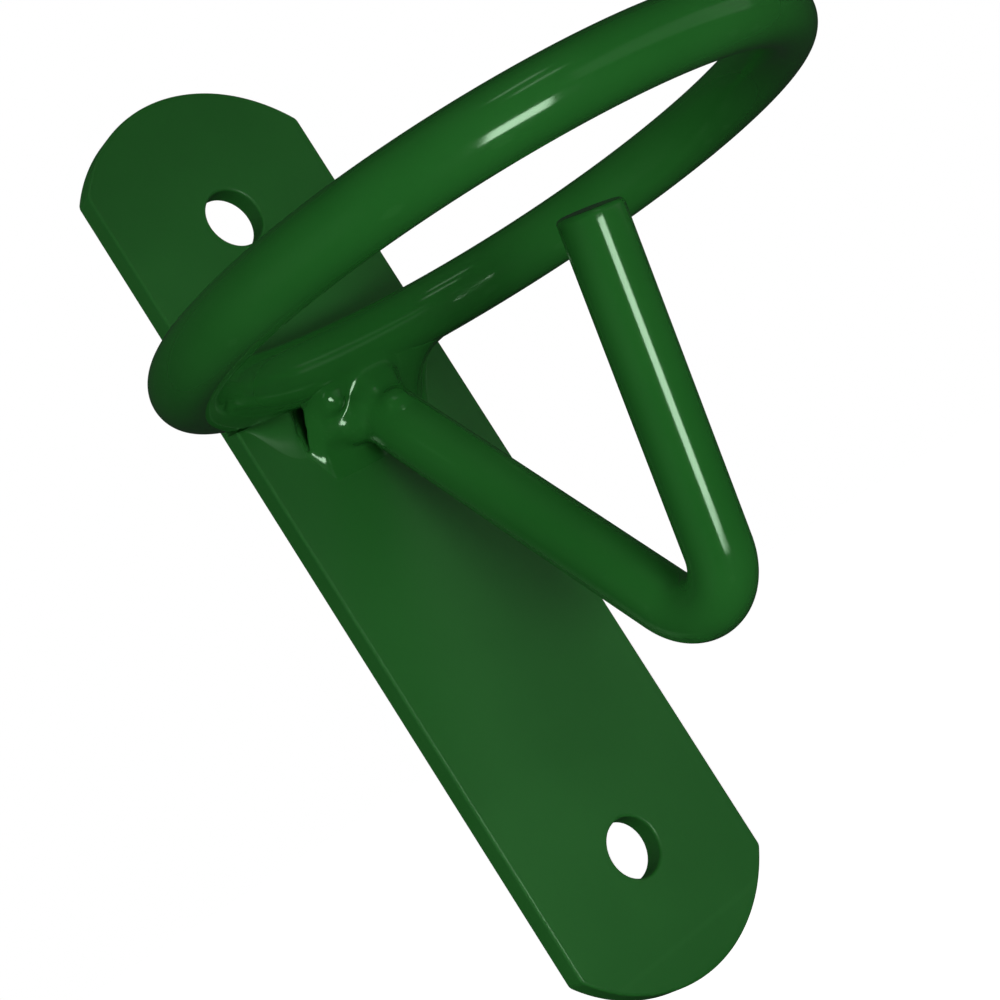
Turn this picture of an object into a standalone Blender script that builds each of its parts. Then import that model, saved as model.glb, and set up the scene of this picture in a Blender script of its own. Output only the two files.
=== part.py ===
"""Wall bracket with a ring and a hook, in welded and painted steel.

Frame: the origin is the middle of the plate's back face, which lies on the wall.
+X is to the right as one faces the wall, +Y runs into the wall, and +Z is up.
"""

import math

import bmesh
import bpy
from mathutils import Matrix, Vector

# Driving dimensions, in metres
PLATE_WIDTH = 0.0352
PLATE_LENGTH = 0.130
PLATE_THICKNESS = 0.0032
PLATE_END_RISE = 0.0087
PLATE_CORNER_RADIUS = 0.0012
PLATE_EDGE_ROUND = 0.0004

HOLE_SPACING = 0.094
HOLE_RADIUS = 0.00395

BAR_RADIUS = 0.004
FIT_GAP = 0.0003

RING_RADIUS = 0.03855
RING_OFFSET_X = -0.0033
RING_HEIGHT = 0.0239
# The ring is welded on a little askew: its front and its right side hang low
RING_LEAN = (math.radians(0.5), math.radians(0.6), 0.0)
RING_JOINT_WIDTH = 0.0024

HOOK_ROOT_HEIGHT = 0.0159
HOOK_APEX = Vector((0.0, -0.0409, -0.0350))
HOOK_TIP = Vector((0.0, -0.0569, 0.0173))
HOOK_BEND_RADIUS = 0.0068
HOOK_ROOT_OVERRUN = 0.006

# Each weld: its centre from the hook's root, in x, y and z, and its half sizes
WELDS = {
    "weld_left": ((-0.0074, 0.0010, 0.0018), (0.0064, 0.0038, 0.0052)),
    "weld_right": ((0.0072, 0.0010, 0.0018), (0.0060, 0.0036, 0.0050)),
    "weld_crown": ((0.0, -0.0056, 0.0032), (0.0022, 0.0024, 0.0022)),
}

# Smoothness
ARC_STEPS = 24
RING_STEPS = 72
BAR_SIDES = 20
HOLE_SIDES = 40
CUT_MARGIN = 0.01

PAINT_GREEN = (0.018, 0.105, 0.024, 1.0)

PLATE_FRONT = -PLATE_THICKNESS
RING_REAR_Y = PLATE_FRONT - FIT_GAP - BAR_RADIUS
RING_CENTRE = Vector((RING_OFFSET_X, RING_REAR_Y - RING_RADIUS, RING_HEIGHT))
HOOK_ROOT = Vector((0.0, PLATE_FRONT - BAR_RADIUS, HOOK_ROOT_HEIGHT))


def clear_scene():
    for obj in list(bpy.data.objects):
        bpy.data.objects.remove(obj)


def new_collection(name, hidden=False):
    collection = bpy.data.collections.new(name)
    bpy.context.scene.collection.children.link(collection)
    collection.hide_render = hidden
    return collection


def paint(name, roughness):
    material = bpy.data.materials.new(name)
    material.use_nodes = True
    shader = material.node_tree.nodes["Principled BSDF"]
    shader.inputs["Base Color"].default_value = PAINT_GREEN
    shader.inputs["Roughness"].default_value = roughness
    shader.inputs["Metallic"].default_value = 0.0
    return material


def link(obj, collection):
    collection.objects.link(obj)
    return obj


def as_mesh(curve_object, collection):
    """The mesh of a curve object, with its caps welded, in the curve object's place."""
    bpy.context.view_layer.update()
    graph = bpy.context.evaluated_depsgraph_get()
    mesh = bpy.data.meshes.new_from_object(curve_object.evaluated_get(graph))
    soft = bmesh.new()
    soft.from_mesh(mesh)
    bmesh.ops.remove_doubles(soft, verts=soft.verts, dist=0.000005)
    bmesh.ops.recalc_face_normals(soft, faces=soft.faces)
    soft.to_mesh(mesh)
    soft.free()
    name = curve_object.name
    placed = curve_object.matrix_world.copy()
    bpy.data.objects.remove(curve_object)
    obj = link(bpy.data.objects.new(name, mesh), collection)
    obj.matrix_world = placed
    return obj


def smooth(obj):
    obj.data.shade_smooth()
    obj.data.set_sharp_from_angle(angle=math.radians(35))


def arc_points(centre, radius, start, end, steps):
    """Points along an arc in the X-Z plane, from angle start to end."""
    angles = [start + (end - start) * i / steps for i in range(steps + 1)]
    return [(centre[0] + radius * math.cos(a), centre[1] + radius * math.sin(a)) for a in angles]


def plate_outline():
    """Straight sides, large-radius ends and small rounds where they meet, anticlockwise."""
    half_width = PLATE_WIDTH / 2
    end_radius = (half_width**2 + PLATE_END_RISE**2) / (2 * PLATE_END_RISE)
    end_centre = PLATE_LENGTH / 2 - end_radius
    corner = PLATE_CORNER_RADIUS
    # The corner round touches the side from inside, and the end arc from inside
    corner_x = half_width - corner
    corner_z = end_centre + math.sqrt((end_radius - corner) ** 2 - corner_x**2)
    meet = math.atan2(corner_z - end_centre, corner_x)
    top = arc_points((corner_x, corner_z), corner, 0.0, meet, 4)
    top += arc_points((0.0, end_centre), end_radius, meet, math.pi - meet, ARC_STEPS)[1:-1]
    top += arc_points((-corner_x, corner_z), corner, math.pi - meet, math.pi, 4)
    return top + [(-x, -z) for x, z in top]


def flat_outline(name, points, thickness):
    """A closed 2D outline in the X-Z plane, extruded along Y about its middle."""
    curve = bpy.data.curves.new(name, "CURVE")
    curve.dimensions = "2D"
    curve.fill_mode = "BOTH"
    curve.extrude = thickness / 2
    spline = curve.splines.new("POLY")
    spline.points.add(len(points) - 1)
    for point, (x, z) in zip(spline.points, points):
        point.co = (x, z, 0.0, 1.0)
    spline.use_cyclic_u = True
    obj = bpy.data.objects.new(name, curve)
    obj.rotation_euler = (math.pi / 2, 0.0, 0.0)
    return obj


def cylinder(name, radius, depth, collection, sides=HOLE_SIDES):
    """A cylinder along Y, for cutting."""
    mesh = bpy.data.meshes.new(name)
    shape = bmesh.new()
    bmesh.ops.create_cone(
        shape, cap_ends=True, segments=sides, radius1=radius, radius2=radius, depth=depth,
        matrix=Matrix.Rotation(math.pi / 2, 4, "X"),
    )
    shape.to_mesh(mesh)
    shape.free()
    return cutter(bpy.data.objects.new(name, mesh), collection)


def cutter(obj, collection):
    link(obj, collection)
    obj.hide_render = True
    obj.display_type = "WIRE"
    return obj


def cut(obj, tool, operation="DIFFERENCE"):
    modifier = obj.modifiers.new("cut " + tool.name, "BOOLEAN")
    modifier.operation = operation
    modifier.solver = "EXACT"
    modifier.object = tool


def make_back_plate(parts, cutters, material):
    curve = link(flat_outline("back_plate", plate_outline(), PLATE_THICKNESS), parts)
    curve.location = (0.0, -PLATE_THICKNESS / 2, 0.0)
    plate = as_mesh(curve, parts)
    for name, z in (("upper_hole", HOLE_SPACING / 2), ("lower_hole", -HOLE_SPACING / 2)):
        tool = cylinder(name, HOLE_RADIUS, PLATE_THICKNESS + CUT_MARGIN, cutters)
        tool.location = (0.0, -PLATE_THICKNESS / 2, z)
        cut(plate, tool)
    bevel = plate.modifiers.new("soft edges", "BEVEL")
    bevel.width = PLATE_EDGE_ROUND
    bevel.segments = 2
    bevel.limit_method = "ANGLE"
    bevel.angle_limit = math.radians(50)
    plate.data.materials.append(material)
    smooth(plate)
    return plate


def torus(name, ring_radius, bar_radius, steps, sides):
    """A ring of round bar in the X-Y plane."""
    bpy.ops.mesh.primitive_torus_add(
        major_radius=ring_radius, minor_radius=bar_radius,
        major_segments=steps, minor_segments=sides,
    )
    obj = bpy.context.active_object
    obj.name = name
    for owner in list(obj.users_collection):
        owner.objects.unlink(obj)
    return obj


def ring_bar(name, bar_radius, collection):
    """The whole ring of round bar, in its place."""
    obj = link(torus(name, RING_RADIUS, bar_radius, RING_STEPS, BAR_SIDES), collection)
    obj.location = RING_CENTRE
    obj.rotation_euler = RING_LEAN
    return obj


def joint_block(name, width, cutters):
    """A box across the ring's rear, where the bent bar's two ends meet on the plate."""
    half = Vector((width / 2, RING_RADIUS / 2, BAR_RADIUS * 2))
    rear = RING_CENTRE + Vector((0.0, RING_RADIUS, 0.0))
    return block(name, rear - half, rear + half, cutters)


def make_ring(parts, cutters, metal_paint, weld_paint):
    """The ring's bar, bent round from one end to the other, and the weld that closes it."""
    ring = ring_bar("ring", BAR_RADIUS, parts)
    cut(ring, joint_block("ring_ends", RING_JOINT_WIDTH, cutters))
    joint = ring_bar("ring_joint_weld", BAR_RADIUS, parts)
    filled = joint_block("ring_joint_space", RING_JOINT_WIDTH - 2 * FIT_GAP, cutters)
    cut(joint, filled, "INTERSECT")
    for obj, material in ((ring, metal_paint), (joint, weld_paint)):
        obj.data.materials.append(material)
        smooth(obj)


def hook_path():
    """The bar's centreline: from inside the root, round the bend and up to the free end."""
    to_root = (HOOK_ROOT - HOOK_APEX).normalized()
    to_tip = (HOOK_TIP - HOOK_APEX).normalized()
    half_angle = to_root.angle(to_tip) / 2
    tangent = HOOK_BEND_RADIUS / math.tan(half_angle)
    bend_start = HOOK_APEX + to_root * tangent
    bend_end = HOOK_APEX + to_tip * tangent
    middle = (to_root + to_tip).normalized()
    centre = HOOK_APEX + middle * (HOOK_BEND_RADIUS / math.sin(half_angle))
    first = (bend_start - centre).normalized()
    side = first.cross((bend_end - centre).normalized()).cross(first).normalized()
    sweep = math.pi - 2 * half_angle
    steps = ARC_STEPS // 2
    bend = []
    for i in range(steps + 1):
        turn = sweep * i / steps
        bend.append(centre + HOOK_BEND_RADIUS * (math.cos(turn) * first + math.sin(turn) * side))
    return [HOOK_ROOT + to_root * HOOK_ROOT_OVERRUN] + bend + [HOOK_TIP]


def bar(name, points, radius, collection):
    """A round bar with flat ends along a list of points."""
    curve = bpy.data.curves.new(name, "CURVE")
    curve.dimensions = "3D"
    curve.bevel_depth = radius
    curve.bevel_resolution = BAR_SIDES // 2 - 2
    curve.use_fill_caps = True
    spline = curve.splines.new("POLY")
    spline.points.add(len(points) - 1)
    for point, place in zip(spline.points, points):
        point.co = (*place, 1.0)
    return link(bpy.data.objects.new(name, curve), collection)


def block(name, low, high, collection):
    """A box between two corners, for cutting."""
    mesh = bpy.data.meshes.new(name)
    shape = bmesh.new()
    size = Vector(high) - Vector(low)
    middle = (Vector(high) + Vector(low)) / 2
    bmesh.ops.create_cube(shape, size=1.0, matrix=Matrix.Translation(middle) @ Matrix.Diagonal((*size, 1.0)))
    shape.to_mesh(mesh)
    shape.free()
    return cutter(bpy.data.objects.new(name, mesh), collection)


def make_hook(parts, wall_block, ring_space, material):
    hook = as_mesh(bar("hook", hook_path(), BAR_RADIUS, parts), parts)
    cut(hook, wall_block)
    cut(hook, ring_space)
    hook.data.materials.append(material)
    smooth(hook)
    return hook


def make_weld(name, offset, half_sizes, parts, tools, material):
    """A lump of weld metal in the corner between the plate, the ring and the hook."""
    mesh = bpy.data.meshes.new(name)
    shape = bmesh.new()
    bmesh.ops.create_uvsphere(shape, u_segments=28, v_segments=16, radius=1.0)
    bmesh.ops.scale(shape, vec=half_sizes, verts=shape.verts)
    shape.to_mesh(mesh)
    shape.free()
    weld = link(bpy.data.objects.new(name, mesh), parts)
    weld.location = HOOK_ROOT + Vector(offset)
    for tool in tools:
        cut(weld, tool)
    weld.data.materials.append(material)
    smooth(weld)
    return weld


def main():
    clear_scene()
    parts = new_collection("ring_and_hook_bracket")
    cutters = new_collection("cutters", hidden=True)
    metal_paint = paint("green_paint", 0.3)
    weld_paint = paint("green_paint_on_weld", 0.35)

    make_back_plate(parts, cutters, metal_paint)
    make_ring(parts, cutters, metal_paint, weld_paint)

    reach = PLATE_LENGTH
    wall_block = block(
        "wall_space", (-reach, PLATE_FRONT - FIT_GAP, -reach), (reach, reach, reach), cutters
    )
    ring_space = ring_bar("ring_space", BAR_RADIUS + FIT_GAP, cutters)
    ring_space.hide_render = True
    ring_space.display_type = "WIRE"
    hook_space = as_mesh(
        bar("hook_space", hook_path(), BAR_RADIUS + FIT_GAP, cutters), cutters
    )
    hook_space.hide_render = True
    hook_space.display_type = "WIRE"

    make_hook(parts, wall_block, ring_space, metal_paint)
    for name, (offset, half_sizes) in WELDS.items():
        make_weld(name, offset, half_sizes, parts, (wall_block, ring_space, hook_space), weld_paint)


main()
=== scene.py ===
import math

import bmesh
import bpy
import numpy as np
from mathutils import Matrix, Vector


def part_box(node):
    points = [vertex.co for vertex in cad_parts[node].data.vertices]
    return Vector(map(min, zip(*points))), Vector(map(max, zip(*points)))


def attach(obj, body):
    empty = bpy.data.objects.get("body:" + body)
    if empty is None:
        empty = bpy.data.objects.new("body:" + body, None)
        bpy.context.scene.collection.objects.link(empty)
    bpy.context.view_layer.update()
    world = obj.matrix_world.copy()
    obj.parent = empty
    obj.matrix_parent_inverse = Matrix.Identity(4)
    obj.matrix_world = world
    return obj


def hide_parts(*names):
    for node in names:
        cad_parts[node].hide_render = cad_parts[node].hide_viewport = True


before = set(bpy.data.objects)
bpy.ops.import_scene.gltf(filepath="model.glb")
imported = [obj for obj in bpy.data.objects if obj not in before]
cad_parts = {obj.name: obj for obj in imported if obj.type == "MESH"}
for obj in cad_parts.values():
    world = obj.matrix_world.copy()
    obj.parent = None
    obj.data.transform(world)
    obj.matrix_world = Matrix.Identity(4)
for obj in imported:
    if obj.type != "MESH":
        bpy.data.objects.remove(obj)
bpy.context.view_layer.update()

MM = 0.001

# ---------------------------------------------------------------- sizes, from the frame
PLATE_LOW, PLATE_HIGH = (Vector(corner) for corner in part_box("back_plate"))
HOOK_LOW, HOOK_HIGH = (Vector(corner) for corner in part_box("hook"))
RING_LOW, RING_HIGH = (Vector(corner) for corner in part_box("ring"))

BAR_RADIUS = (HOOK_HIGH.x - HOOK_LOW.x) / 2
PLATE_HALF_WIDTH = (PLATE_HIGH.x - PLATE_LOW.x) / 2
PLATE_HALF_LENGTH = (PLATE_HIGH.z - PLATE_LOW.z) / 2
PLATE_FRONT = PLATE_LOW.y
PLATE_THICKNESS = PLATE_HIGH.y - PLATE_LOW.y

# The shapes below repeat part.py's, in metres
PLATE_END_RISE = 0.0087
PLATE_CORNER_RADIUS = 0.0012
PLATE_EDGE_ROUND = 0.0004
HOLE_SPACING = 0.094
HOLE_RADIUS = 0.00395

RING_RADIUS = 0.03855
RING_LEAN = (math.radians(0.5), math.radians(0.6), 0.0)
RING_CENTRE = (RING_LOW + RING_HIGH) / 2
RING_JOINT_HALF_ANGLE = 0.0012 / RING_RADIUS
CLOSING_WELD_REACH = 2.5     # how many times the joint's half angle the weld covers on each side
CLOSING_WELD_STEPS = 24
CLOSING_WELD_CROWN = 0.03 * MM
CLOSING_WELD_SINK = 0.01 * MM

HOOK_ROOT = Vector((0.0, PLATE_FRONT - BAR_RADIUS, 0.0159))
HOOK_APEX = Vector((0.0, -0.0409, -0.0350))
HOOK_TIP = Vector((0.0, -0.0569, 0.0173))
HOOK_BEND_RADIUS = 0.0068
HOOK_ROOT_OVERRUN = 0.003
HOOK_TIP_ROUND = 0.0007

BAR_SIDES = 96
RING_STEPS = 360
ARC_STEPS = 64
CORNER_STEPS = 8
JOIN_WITHIN = 0.000002

# ---------------------------------------------------------------- camera
CAMERA_PLACE = Vector((-0.17914, -0.23410, -0.02103))
CAMERA_AZIMUTH = math.radians(39.585)
CAMERA_ELEVATION = math.radians(-3.819)
CAMERA_ROLL = math.radians(-32.496)
CAMERA_LENS = 83.857
CAMERA_SENSOR = 36.0


def turned_camera_axes():
    """The camera's right, up and back directions, with its roll."""
    level = math.cos(CAMERA_ELEVATION)
    back = Vector((
        -math.sin(CAMERA_AZIMUTH) * level,
        -math.cos(CAMERA_AZIMUTH) * level,
        math.sin(CAMERA_ELEVATION),
    ))
    right = Vector((0.0, 0.0, 1.0)).cross(back).normalized()
    up = back.cross(right)
    cos_roll, sin_roll = math.cos(CAMERA_ROLL), math.sin(CAMERA_ROLL)
    return cos_roll * right + sin_roll * up, cos_roll * up - sin_roll * right, back


def make_camera():
    data = bpy.data.cameras.new("camera")
    data.sensor_width = CAMERA_SENSOR
    data.lens = CAMERA_LENS
    data.clip_start = 0.01
    camera = bpy.data.objects.new("camera", data)
    bpy.context.scene.collection.objects.link(camera)
    camera.matrix_world = Matrix.Translation(CAMERA_PLACE) @ Matrix(
        turned_camera_axes()
    ).transposed().to_4x4()
    bpy.context.scene.camera = camera


# ---------------------------------------------------------------- node helpers
def node(tree, kind, place, **settings):
    made = tree.nodes.new(kind)
    made.location = place
    for name, value in settings.items():
        setattr(made, name, value)
    return made


def mapped_noise(tree, position, scale, detail, place, roughness=0.5):
    noise = node(tree, "ShaderNodeTexNoise", place)
    noise.inputs["Scale"].default_value = scale
    noise.inputs["Detail"].default_value = detail
    noise.inputs["Roughness"].default_value = roughness
    tree.links.new(position, noise.inputs["Vector"])
    return noise.outputs["Fac"]


def ramp(tree, factor, low, high, place):
    """A smooth ramp between two (position, grey or colour) stops."""
    made = node(tree, "ShaderNodeValToRGB", place)
    made.color_ramp.interpolation = "EASE"
    for stop, (position, colour) in zip(made.color_ramp.elements, (low, high)):
        stop.position = position
        stop.color = (*colour, 1.0) if isinstance(colour, tuple) else (colour, colour, colour, 1.0)
    tree.links.new(factor, made.inputs["Fac"])
    return made.outputs["Color"]


def mix_colour(tree, factor, first, second, place):
    made = node(tree, "ShaderNodeMix", place, data_type="RGBA")
    tree.links.new(factor, made.inputs["Factor"])
    for socket, value in ((made.inputs["A"], first), (made.inputs["B"], second)):
        if isinstance(value, tuple):
            socket.default_value = (*value, 1.0)
        else:
            tree.links.new(value, socket)
    return made.outputs["Result"]


def bump(tree, height, strength, distance, place, under=None):
    made = node(tree, "ShaderNodeBump", place)
    made.inputs["Strength"].default_value = strength
    made.inputs["Distance"].default_value = distance
    tree.links.new(height, made.inputs["Height"])
    if under is not None:
        tree.links.new(under, made.inputs["Normal"])
    return made.outputs["Normal"]


# ---------------------------------------------------------------- materials
GREEN_DEEP = (0.0130, 0.1020, 0.0150)
GREEN_FULL = (0.0170, 0.1180, 0.0190)
# The lighter green for convex edges: thin paint there, with a painted highlight along the edges
GREEN_THIN_AND_EDGE_HIGHLIGHT = (0.0260, 0.1350, 0.0280)
SHEEN = (0.68, 1.0, 0.70)
# How fine each pattern in the paint is, per metre, and how deep its relief is, in metres
CLOUD_SCALE = 38.0
GRAIN_SCALE = 900.0
PEEL_SCALE, PEEL_DEPTH = 420.0, 0.00006
LUMP_SCALE, LUMP_DEPTH = 750.0, 0.0003
# Where the paint is dry: over what distance it turns dull, and by how much
DULL_WIDTH = 0.0012
DULL_ROUGHNESS = 0.45


def paint(name, peel, gloss, lumps=0.0, dull_from=None):
    """Green enamel: mottled colour, lighter on convex edges (thin paint and a painted edge highlight), with
    orange peel in the gloss.

    To the left of dull_from, where it is given, the paint is dry and dull.
    """
    material = bpy.data.materials.new(name)
    material.use_nodes = True
    tree = material.node_tree
    shader = tree.nodes["Principled BSDF"]
    position = node(tree, "ShaderNodeTexCoord", (-1500, 0)).outputs["Object"]

    clouds = mapped_noise(tree, position, CLOUD_SCALE, 3.0, (-1250, 300))
    grain = mapped_noise(tree, position, GRAIN_SCALE, 4.0, (-1250, 50))
    body = mix_colour(
        tree, ramp(tree, clouds, (0.30, 0.0), (0.72, 1.0), (-1050, 300)),
        GREEN_DEEP, GREEN_FULL, (-760, 300),
    )
    # Convex edges lighten towards the thin-edge green: partly thin paint, partly a painted highlight along
    # every edge
    pointiness = node(tree, "ShaderNodeNewGeometry", (-1250, 600)).outputs["Pointiness"]
    edge = ramp(tree, pointiness, (0.53, 0.0), (0.64, 0.25), (-1050, 600))
    colour = mix_colour(tree, edge, body, GREEN_THIN_AND_EDGE_HIGHLIGHT, (-520, 300))
    tree.links.new(colour, shader.inputs["Base Color"])

    shine = node(tree, "ShaderNodeMapRange", (-760, 0))
    shine.inputs["To Min"].default_value = gloss - 0.05
    shine.inputs["To Max"].default_value = gloss + 0.07
    tree.links.new(grain, shine.inputs["Value"])
    roughness = shine.outputs["Result"]
    if dull_from is not None:
        apart = node(tree, "ShaderNodeSeparateXYZ", (-1050, -120))
        tree.links.new(position, apart.inputs["Vector"])
        dull = node(tree, "ShaderNodeMapRange", (-760, -120))
        dull.inputs["From Min"].default_value = dull_from
        dull.inputs["From Max"].default_value = dull_from - DULL_WIDTH
        dull.inputs["To Max"].default_value = DULL_ROUGHNESS
        tree.links.new(apart.outputs["X"], dull.inputs["Value"])
        total = node(tree, "ShaderNodeMath", (-520, -60), operation="ADD")
        tree.links.new(roughness, total.inputs[0])
        tree.links.new(dull.outputs["Result"], total.inputs[1])
        roughness = total.outputs["Value"]
    tree.links.new(roughness, shader.inputs["Roughness"])

    peel_height = mapped_noise(tree, position, PEEL_SCALE, 2.0, (-1250, -250), roughness=0.4)
    normal = bump(tree, peel_height, peel, PEEL_DEPTH, (-760, -250))
    if lumps:
        lump_height = mapped_noise(tree, position, LUMP_SCALE, 3.0, (-1250, -500), roughness=0.6)
        normal = bump(tree, lump_height, lumps, LUMP_DEPTH, (-520, -400), under=normal)
    tree.links.new(normal, shader.inputs["Normal"])
    shader.inputs["Metallic"].default_value = 0.0
    shader.inputs["IOR"].default_value = 1.5
    shader.inputs["Specular Tint"].default_value = (*SHEEN, 1.0)
    return material


# ---------------------------------------------------------------- pieces
def piece(name, mesh, material, slot, *nodes):
    """A finished piece that stands for CAD nodes, on the only body."""
    obj = bpy.data.objects.new(name, mesh)
    bpy.context.scene.collection.objects.link(obj)
    mesh.materials.append(material)
    mesh.shade_smooth()
    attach(obj, "root")
    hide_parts(*nodes)
    return obj


def arc_points(centre, radius, start, end, steps):
    """Points along an arc in the X-Z plane, from angle start to end."""
    angles = [start + (end - start) * i / steps for i in range(steps + 1)]
    return [(centre[0] + radius * math.cos(a), centre[1] + radius * math.sin(a)) for a in angles]


def plate_outline():
    """Straight sides, large-radius ends and small rounds where they meet, anticlockwise."""
    end_radius = (PLATE_HALF_WIDTH**2 + PLATE_END_RISE**2) / (2 * PLATE_END_RISE)
    end_centre = PLATE_HALF_LENGTH - end_radius
    corner = PLATE_CORNER_RADIUS
    corner_x = PLATE_HALF_WIDTH - corner
    corner_z = end_centre + math.sqrt((end_radius - corner) ** 2 - corner_x**2)
    meet = math.atan2(corner_z - end_centre, corner_x)
    top = arc_points((corner_x, corner_z), corner, 0.0, meet, CORNER_STEPS)
    top += arc_points((0.0, end_centre), end_radius, meet, math.pi - meet, ARC_STEPS)[1:-1]
    top += arc_points((-corner_x, corner_z), corner, math.pi - meet, math.pi, CORNER_STEPS)
    return top + [(-x, -z) for x, z in top]


def poly_spline(curve, points):
    spline = curve.splines.new("POLY")
    spline.points.add(len(points) - 1)
    for point, (x, z) in zip(spline.points, points):
        point.co = (x, z, 0.0, 1.0)
    spline.use_cyclic_u = True


def mesh_of_curve(curve, matrix):
    """The curve's mesh, with doubled points joined, moved by matrix."""
    obj = bpy.data.objects.new(curve.name, curve)
    bpy.context.scene.collection.objects.link(obj)
    bpy.context.view_layer.update()
    graph = bpy.context.evaluated_depsgraph_get()
    mesh = bpy.data.meshes.new_from_object(obj.evaluated_get(graph))
    bpy.data.objects.remove(obj)
    shape = bmesh.new()
    shape.from_mesh(mesh)
    bmesh.ops.remove_doubles(shape, verts=shape.verts, dist=JOIN_WITHIN)
    bmesh.ops.recalc_face_normals(shape, faces=shape.faces)
    bmesh.ops.transform(shape, matrix=matrix, verts=shape.verts)
    shape.to_mesh(mesh)
    shape.free()
    return mesh


def make_plate(material):
    """The flat bar with its two holes and every edge softened by the paint."""
    curve = bpy.data.curves.new("back_plate_painted", "CURVE")
    curve.dimensions = "2D"
    curve.fill_mode = "BOTH"
    curve.extrude = PLATE_THICKNESS / 2 - PLATE_EDGE_ROUND
    curve.bevel_depth = PLATE_EDGE_ROUND
    curve.bevel_resolution = 4
    curve.offset = -PLATE_EDGE_ROUND
    poly_spline(curve, plate_outline())
    for z in (HOLE_SPACING / 2, -HOLE_SPACING / 2):
        poly_spline(curve, arc_points((0.0, z), HOLE_RADIUS, 0.0, -math.tau, ARC_STEPS)[:-1])
    upright = Matrix.Translation((0.0, PLATE_FRONT / 2, 0.0)) @ Matrix.Rotation(math.pi / 2, 4, "X")
    plate = piece(
        "back_plate_painted", mesh_of_curve(curve, upright), material, "plate_paint", "back_plate"
    )
    plate.modifiers.new("flat faces stay flat", "WEIGHTED_NORMAL").keep_sharp = True


def swept_bar(name, stations):
    """A closed mesh through rings of points. Each station is (place, first axis, second axis, radius)."""
    shape = bmesh.new()
    rings = []
    for place, across, over, radius in stations:
        ring = []
        for i in range(BAR_SIDES):
            turn = math.tau * i / BAR_SIDES
            ring.append(shape.verts.new(
                place + radius * (math.cos(turn) * across + math.sin(turn) * over)
            ))
        rings.append(ring)
    for before, after in zip(rings, rings[1:]):
        for i in range(BAR_SIDES):
            j = (i + 1) % BAR_SIDES
            shape.faces.new((before[i], before[j], after[j], after[i]))
    shape.faces.new(rings[0][::-1])
    shape.faces.new(rings[-1])
    bmesh.ops.recalc_face_normals(shape, faces=shape.faces)
    mesh = bpy.data.meshes.new(name)
    shape.to_mesh(mesh)
    shape.free()
    return mesh


def ring_axes():
    """The ring's own X, Y and Z directions, leaning as it was welded."""
    lean = Matrix.Rotation(RING_LEAN[1], 3, "Y") @ Matrix.Rotation(RING_LEAN[0], 3, "X")
    return [lean.col[i].copy() for i in range(3)]


def ring_stations(start, end, steps, radii):
    """Stations round the ring from one angle to another. Angle 0 is the rear, on the plate."""
    along_x, along_y, along_z = ring_axes()
    stations = []
    for i in range(steps + 1):
        turn = start + (end - start) * i / steps
        outward = math.sin(turn) * along_x + math.cos(turn) * along_y
        stations.append((RING_CENTRE + RING_RADIUS * outward, outward, along_z, radii(i / steps)))
    return stations


def make_ring(material, weld_material):
    """The ring's bar and the closing weld at the rear, ground flush."""
    gap = RING_JOINT_HALF_ANGLE
    whole = ring_stations(gap, math.tau - gap, RING_STEPS, lambda share: BAR_RADIUS)
    piece("ring_painted", swept_bar("ring_painted", whole), material, "bar_paint", "ring")

    def crowned(share):
        return BAR_RADIUS + CLOSING_WELD_CROWN * math.sin(math.pi * share) ** 2 - CLOSING_WELD_SINK

    reach = CLOSING_WELD_REACH * gap
    joint = ring_stations(-reach, reach, CLOSING_WELD_STEPS, crowned)
    piece(
        "ring_closing_weld", swept_bar("ring_closing_weld", joint), weld_material,
        "weld_paint", "ring_joint_weld",
    )


def hook_stations():
    """Along the hook's centreline: from the root, round the bend, to the tip with its soft rim."""
    to_root = (HOOK_ROOT - HOOK_APEX).normalized()
    to_tip = (HOOK_TIP - HOOK_APEX).normalized()
    half_angle = to_root.angle(to_tip) / 2
    tangent = HOOK_BEND_RADIUS / math.tan(half_angle)
    centre = HOOK_APEX + (to_root + to_tip).normalized() * (HOOK_BEND_RADIUS / math.sin(half_angle))
    bend_start = HOOK_APEX + to_root * tangent
    first = (bend_start - centre).normalized()
    onward = -to_root
    sideways = Vector((1.0, 0.0, 0.0))
    stations = []

    def station(place, direction, radius=BAR_RADIUS):
        stations.append((place, sideways, direction.cross(sideways).normalized(), radius))

    start = HOOK_ROOT + to_root * HOOK_ROOT_OVERRUN
    for i in range(ARC_STEPS):
        station(start.lerp(bend_start, i / ARC_STEPS), onward)
    sweep = math.pi - 2 * half_angle
    for i in range(ARC_STEPS + 1):
        turn = sweep * i / ARC_STEPS
        outward = math.cos(turn) * first + math.sin(turn) * onward
        direction = math.cos(turn) * onward - math.sin(turn) * first
        station(centre + HOOK_BEND_RADIUS * outward, direction)
    bend_end = HOOK_APEX + to_tip * tangent
    rim_start = HOOK_TIP - to_tip * HOOK_TIP_ROUND
    for i in range(1, ARC_STEPS + 1):
        station(bend_end.lerp(rim_start, i / ARC_STEPS), to_tip)
    for i in range(1, CORNER_STEPS + 1):
        turn = math.pi / 2 * i / CORNER_STEPS
        inset = HOOK_TIP_ROUND * (1 - math.cos(turn))
        station(rim_start + to_tip * HOOK_TIP_ROUND * math.sin(turn), to_tip, BAR_RADIUS - inset)
    return stations


def make_hook(material):
    bar = swept_bar("hook_painted", hook_stations())
    hook = piece("hook_painted", bar, material, "bar_paint", "hook")
    hook.modifiers.new("flat end stays flat", "WEIGHTED_NORMAL").keep_sharp = True


# ---------------------------------------------------------------- weld metal, in millimetres
LEAST_REACH = 0.001


def smooth_least(a, b, reach):
    """The lesser of two distances, with a round fillet where they are within reach of each other."""
    reach = np.maximum(reach, LEAST_REACH)
    near = np.maximum(reach - np.abs(a - b), 0.0) / reach
    return np.minimum(a, b) - near**3 * reach / 6


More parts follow.
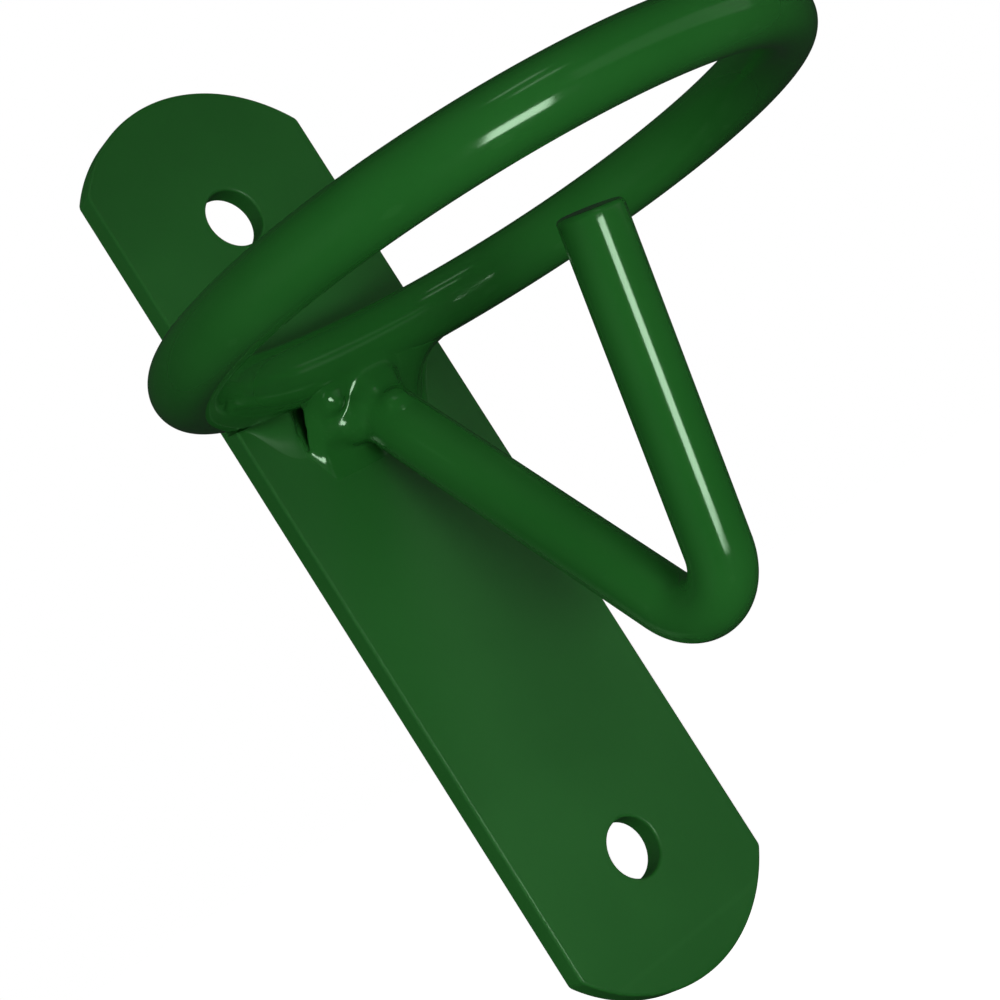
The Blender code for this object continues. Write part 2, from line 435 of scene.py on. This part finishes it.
def to_segment(points, start, end):
    """Distances to a line between two points."""
    start, end = np.array(start), np.array(end)
    along = end - start
    share = np.clip((points - start) @ along / (along @ along), 0.0, 1.0)
    return np.linalg.norm(points - start - share[..., None] * along, axis=-1)


def in_mm(vector):
    return np.array(vector) / MM


def ring_distance(points):
    local = (points - in_mm(RING_CENTRE)) @ np.array(ring_axes()).T
    from_ring = np.hypot(local[..., 0], local[..., 1]) - RING_RADIUS / MM
    return np.hypot(from_ring, local[..., 2]) - BAR_RADIUS / MM


def hook_ends():
    return in_mm(HOOK_ROOT + (HOOK_ROOT - HOOK_APEX).normalized() * HOOK_ROOT_OVERRUN), in_mm(HOOK_APEX)


def hook_distance(points):
    """The hook's arm with a round end, as the weld metal covers it."""
    return to_segment(points, *hook_ends()) - BAR_RADIUS / MM


def plate_distance(points):
    """The plate's front face, taken as endless, so the weld metal runs on past the plate's side edges."""
    return PLATE_FRONT / MM - points[..., 1]


def steel_distance(points):
    """The ring, the hook with its flat end, and the plate."""
    root, apex = hook_ends()
    past_end = (points - root) @ (root - apex) / np.linalg.norm(root - apex)
    hook = np.maximum(hook_distance(points), past_end)
    return np.minimum(np.minimum(ring_distance(points), hook), plate_distance(points))


# Each run of weld metal, and each bead that stands proud of them: points along it, with the radius there
FILLS = [
    (((-6.2, -5.0, 17.0), 1.6), ((-3.5, -5.6, 16.3), 2.1)),
    (((-0.8, -8.6, 19.0), 1.4), ((1.6, -8.8, 19.0), 1.5)),
]
BEADS = [
    (((-6.25, -7.8, 19.5), 1.6), ((-6.1, -7.7, 19.6), 1.6)),
    (((-2.8, -8.1, 17.3), 1.3), ((-3.6, -5.8, 16.2), 1.5), ((-3.6, -5.1, 15.3), 1.4)),
    (((-1.35, -11.55, 15.2), 1.2), ((-1.2, -11.4, 15.5), 1.2)),
    (((-0.45, -11.95, 15.1), 1.2), ((-0.3, -11.7, 15.5), 1.2)),
]
# The fill under the ring: how low it reaches on the plate, and how its toe climbs towards each side:
# from what distance, over what width and how far
TOE_HEIGHT = 14.3
TOE_CLIMBS = {"left": ((8.2, 2.6, 3.6), (10.8, 6.2, 3.9)), "right": ((7.0, 8.0, 7.5),)}
# How far the fillets reach: to the steel, to the runs and beads, and within them
CORNER_REACH = 4.0
FILL_REACH = 2.8
BEAD_REACH = 1.6
FILLS_REACH = 1.6
BEADS_REACH = 0.8
RUN_REACH = 0.7
UNDERCUT_REACH = 0.5
# The fillets fade out towards the plate's side edges, over the ring, and below the toe
EDGE_CLEAR, EDGE_FADE = 0.3, 4.5
TOP_END, TOP_FADE = 25.5, 3.0
LOW_END, LOW_FADE = 11.5, 3.5
# The mesh: its cell, how deep it runs into the steel, and how it is smoothed
WELD_CELL = 0.15
WELD_ROOT = 0.3
SMOOTH_PASSES = 2
SMOOTH_FACTOR = 0.4
# The crown's share of the metal begins, and the left and right welds' ends, this far out from the wall
CROWN_BACK = -9.0
SIDES_FRONT = -9.5
# Where its edges fade out, the metal dips this far below the steel, and a little further below its
# neighbour
DIP = {"weld_crown": 0.008, "weld_left": 0.012, "weld_right": 0.016}
DIP_SLOPE = 0.02
DIP_END = 1.2
# The deep undercut in the left weld, and the way it runs in
UNDERCUT = (((-10.2, -6.0, 20.3), 0.75), ((-11.3, -6.0, 18.2), 0.5), ((-12.2, -6.0, 15.7), 0.12))
UNDERCUT_WAY = (0.636, 0.769, 0.067)


def eased(share):
    """A share held between 0 and 1, that starts and ends gently."""
    share = np.clip(share, 0.0, 1.0)
    return share * share * (3 - 2 * share)


def run_distance(points, run):
    """Distance to a run of weld whose radius changes along it."""
    least = None
    for (start, start_radius), (end, end_radius) in zip(run, run[1:]):
        along = np.array(end) - np.array(start)
        share = np.clip((points - np.array(start)) @ along / (along @ along), 0.0, 1.0)
        place = np.array(start) + share[..., None] * along
        radius = start_radius + (end_radius - start_radius) * share
        found = np.linalg.norm(points - place, axis=-1) - radius
        least = found if least is None else smooth_least(least, found, RUN_REACH)
    return least


def joined_runs(points, runs, reach):
    """Distance to several runs, with fillets between them."""
    least = None
    for run in runs:
        found = run_distance(points, run)
        least = found if least is None else smooth_least(least, found, reach)
    return least


def under_ring_distance(points):
    """The fill below the ring's rear: a flat face from the bar's underside down to its toe on the plate."""
    x, y, z = points[..., 0], points[..., 1], points[..., 2]
    along_x, along_y, _ = ring_axes()
    middle, ring_radius, bar_radius = in_mm(RING_CENTRE), RING_RADIUS / MM, BAR_RADIUS / MM
    bar_y = middle[1] + np.sqrt(ring_radius**2 - (x - middle[0]) ** 2)
    bar_z = middle[2] + along_y.z * ring_radius + along_x.z * (x - middle[0])
    toe_z = np.full_like(x, TOE_HEIGHT)
    for side, outward in (("left", -x), ("right", x)):
        for start, width, climb in TOE_CLIMBS[side]:
            toe_z += climb * eased((outward - start) / width)
    plate_y = PLATE_FRONT / MM
    apart = np.hypot(bar_y - plate_y, bar_z - toe_z)
    to_bar = np.arctan2(bar_z - toe_z, bar_y - plate_y)
    slope = to_bar + np.arcsin(np.minimum(bar_radius / apart, 1.0))
    up_y, up_z = np.cos(slope), np.sin(slope)
    face = (z - toe_z) * up_y - (y - plate_y) * up_z
    past_bar = (y - bar_y) * up_y + (z - bar_z) * up_z
    return np.maximum(face, past_bar)


def metal_distance(points):
    """The outer surface of the steel and all its weld metal, as one smooth skin."""
    x, z = points[..., 0], points[..., 2]
    by_plate_edge = eased((PLATE_HALF_WIDTH / MM - EDGE_CLEAR - np.abs(x)) / EDGE_FADE)
    below_ring = eased((TOP_END - z) / TOP_FADE)
    above_toe = eased((z - LOW_END) / LOW_FADE)
    skin = np.minimum(ring_distance(points), under_ring_distance(points))
    skin = smooth_least(skin, plate_distance(points), CORNER_REACH * by_plate_edge * below_ring)
    skin = smooth_least(skin, hook_distance(points), CORNER_REACH * above_toe * below_ring)
    skin = smooth_least(skin, joined_runs(points, FILLS, FILLS_REACH), FILL_REACH * by_plate_edge)
    skin = smooth_least(skin, joined_runs(points, BEADS, BEADS_REACH), BEAD_REACH)
    way = np.array(UNDERCUT_WAY) / np.linalg.norm(UNDERCUT_WAY)

    def across(spots):
        spots = np.array(spots)
        return spots - (spots @ way)[..., None] * way

    undercut = run_distance(across(points), [(across(spot), radius) for spot, radius in UNDERCUT])
    return -smooth_least(-skin, undercut, UNDERCUT_REACH)


# The space that each weld takes up, from its low corner to its high corner
WELD_SPACES = {
    "weld_left": ((-19.0, -11.4, 9.0), (1.5, -2.6, 26.5)),
    "weld_right": ((-1.5, -11.4, 9.0), (19.0, -2.6, 26.5)),
    "weld_crown": ((-7.0, -15.5, 9.0), (7.0, -7.6, 26.5)),
}


def outside_share(name, points):
    """How far points lie outside this weld's share of the metal."""
    x, y = points[..., 0], points[..., 1]
    if name == "weld_crown":
        return y - CROWN_BACK
    return np.maximum(x if name == "weld_left" else -x, SIDES_FRONT - y)


def weld_field(name, points):
    """Below zero inside this weld's share of the metal."""
    steel = steel_distance(points)
    outside = outside_share(name, points)
    outer = metal_distance(points) + DIP[name] + DIP_SLOPE * np.maximum(outside, 0.0)
    inner = -(steel + WELD_ROOT)
    faded = outer - steel - DIP["weld_crown"]
    return np.maximum(np.maximum(outer, inner), np.maximum(faded, outside - DIP_END))


def surface_net(field, low, cell):
    """Vertices and quads of the zero surface of a field on a regular grid."""
    inside = field < 0
    corners = [(i, j, k) for i in (0, 1) for j in (0, 1) for k in (0, 1)]
    cells = tuple(n - 1 for n in field.shape)

    def at(array, offset):
        return array[tuple(slice(o, o + n) for o, n in zip(offset, cells))]

    total = sum(at(inside, c).astype(int) for c in corners)
    mixed = (total > 0) & (total < 8)
    number = np.full(cells, -1)
    number[mixed] = np.arange(mixed.sum())
    base = np.argwhere(mixed).astype(float)
    place, count = np.zeros_like(base), np.zeros(len(base))
    for first in corners:
        for axis in range(3):
            if first[axis]:
                continue
            second = tuple(1 if a == axis else f for a, f in enumerate(first))
            one, two = at(field, first)[mixed], at(field, second)[mixed]
            crosses = (one < 0) != (two < 0)
            share = np.where(crosses, one / np.where(crosses, one - two, 1.0), 0.0)
            spot = np.array(first, float) + share[:, None] * (np.array(second) - np.array(first))
            place[crosses] += spot[crosses]
            count[crosses] += 1
    vertices = (base + place / count[:, None]) * cell + np.array(low)
    faces = []
    for axis in range(3):
        one = np.take(inside, range(cells[axis]), axis)
        two = np.take(inside, range(1, cells[axis] + 1), axis)
        second, third = (axis + 1) % 3, (axis + 2) % 3
        for rising in (False, True):
            spots = np.argwhere((one != two) & (two == rising))
            kept = (spots[:, second] > 0) & (spots[:, third] > 0)
            kept &= (spots[:, second] < cells[second]) & (spots[:, third] < cells[third])
            spots = spots[kept]
            ring = []
            for back_second, back_third in ((0, 0), (1, 0), (1, 1), (0, 1)):
                spot = spots.copy()
                spot[:, second] -= back_second
                spot[:, third] -= back_third
                ring.append(number[tuple(spot.T)])
            quads = np.stack(ring, 1)
            faces.append(quads[:, ::-1] if rising else quads)
    return vertices, np.concatenate(faces)


def make_weld(name, material):
    """One weld's share of the metal in the corners between the ring, the hook and the plate."""
    low, high = WELD_SPACES[name]
    axes = [np.arange(a, b, WELD_CELL) for a, b in zip(low, high)]
    points = np.stack(np.meshgrid(*axes, indexing="ij"), -1)
    vertices, faces = surface_net(weld_field(name, points), low, WELD_CELL)
    mesh = bpy.data.meshes.new(name + "_bead")
    mesh.from_pydata((vertices * MM).tolist(), [], faces.tolist())
    shape = bmesh.new()
    shape.from_mesh(mesh)
    loose = [vert for vert in shape.verts if not vert.link_faces]
    bmesh.ops.delete(shape, geom=loose, context="VERTS")
    bmesh.ops.recalc_face_normals(shape, faces=shape.faces)
    for _ in range(SMOOTH_PASSES):
        bmesh.ops.smooth_vert(
            shape, verts=shape.verts, factor=SMOOTH_FACTOR,
            use_axis_x=True, use_axis_y=True, use_axis_z=True,
        )
    shape.to_mesh(mesh)
    shape.free()
    piece(name + "_bead", mesh, material, "weld_paint", name)


# ---------------------------------------------------------------- studio
AIM = Vector((-0.005, -0.030, 0.002))


def area_light(name, azimuth, elevation, distance, size, radiance, glossy=True):
    """A soft box facing the bracket, unseen by mirror-like reflections unless it is glossy.

    Azimuth 0 is straight out from the wall, and negative is to the left.
    """
    data = bpy.data.lights.new(name, "AREA")
    data.shape = "RECTANGLE"
    data.size, data.size_y = size
    data.energy = radiance * math.pi * size[0] * size[1]
    light = bpy.data.objects.new(name, data)
    bpy.context.scene.collection.objects.link(light)
    side, rise = math.radians(azimuth), math.radians(elevation)
    towards = Vector((math.sin(side) * math.cos(rise), -math.cos(side) * math.cos(rise), math.sin(rise)))
    light.location = AIM + towards * distance
    light.rotation_euler = towards.to_track_quat("Z", "Y").to_matrix().to_euler()
    light.visible_camera = False
    light.visible_glossy = glossy


def make_lights():
    area_light("key", -20.5, -22, 0.30, (0.098, 0.088), 14.5)
    area_light("top strip", -8, 33, 0.9, (0.22, 0.075), 1.9)
    area_light("top strip 2", -8, 50, 0.9, (0.22, 0.075), 1.9)
    area_light("right panel", 31, 0, 0.9, (1.20, 0.40), 0.28)
    area_light("low fill", -20, -35, 0.7, (0.6, 0.6), 1.1, glossy=False)
    area_light("front fill", -20, 10, 1.4, (1.4, 1.4), 0.46, glossy=False)
    area_light("left fill", -95, -5, 1.2, (1.0, 1.0), 2.5, glossy=False)
    area_light("top fill", 0, 75, 1.2, (1.0, 1.0), 1.2, glossy=False)
    area_light("right fill", 85, 10, 1.2, (1.0, 1.0), 0.9, glossy=False)
    area_light("back fill", 180, 20, 1.4, (1.6, 1.2), 1.4, glossy=False)


def make_world():
    """White behind the bracket, and a dim grey room for it to reflect."""
    world = bpy.data.worlds.new("studio")
    bpy.context.scene.world = world
    world.use_nodes = True
    tree = world.node_tree
    room = tree.nodes["Background"]
    room.inputs["Color"].default_value = (0.92, 0.97, 1.0, 1.0)
    room.inputs["Strength"].default_value = 0.015
    paper = node(tree, "ShaderNodeBackground", (0, -200))
    paper.inputs["Strength"].default_value = 1.0
    paper.inputs["Color"].default_value = (1.0, 1.0, 1.0, 1.0)
    rays = node(tree, "ShaderNodeLightPath", (-200, 300))
    choose = node(tree, "ShaderNodeMixShader", (200, 0))
    tree.links.new(rays.outputs["Is Camera Ray"], choose.inputs[0])
    tree.links.new(room.outputs[0], choose.inputs[1])
    tree.links.new(paper.outputs[0], choose.inputs[2])
    tree.links.new(choose.outputs[0], tree.nodes["World Output"].inputs["Surface"])


FLOOR_DROP = 0.25
FLOOR_SIZE = 30.0


def make_floor():
    """A white floor, well below the bracket, lit so evenly that it meets the backdrop."""
    bpy.ops.mesh.primitive_plane_add(size=FLOOR_SIZE, location=(0.0, 0.0, PLATE_LOW.z - FLOOR_DROP))
    floor = bpy.context.active_object
    floor.name = "floor"
    material = bpy.data.materials.new("white_floor")
    material.use_nodes = True
    shader = material.node_tree.nodes["Principled BSDF"]
    shader.inputs["Base Color"].default_value = (0.9, 0.9, 0.9, 1.0)
    shader.inputs["Roughness"].default_value = 0.9
    shader.inputs["Emission Color"].default_value = (1.0, 1.0, 1.0, 1.0)
    shader.inputs["Emission Strength"].default_value = 1.0
    floor.data.materials.append(material)
    floor.visible_diffuse = False
    floor.visible_glossy = False


# ---------------------------------------------------------------- the scene
bpy.context.scene.view_settings.view_transform = "Standard"
make_camera()
make_world()
make_lights()
make_floor()

PLATE_PAINT = paint("green_enamel_plate", peel=0.10, gloss=0.36)
BAR_PAINT = paint("green_enamel_bar", peel=0.06, gloss=0.11)
WELD_PAINT = paint("green_enamel_weld", peel=0.08, gloss=0.12, lumps=0.04, dull_from=-0.0102)

make_plate(PLATE_PAINT)
make_ring(BAR_PAINT, WELD_PAINT)
make_hook(BAR_PAINT)
for weld in WELD_SPACES:
    make_weld(weld, WELD_PAINT)
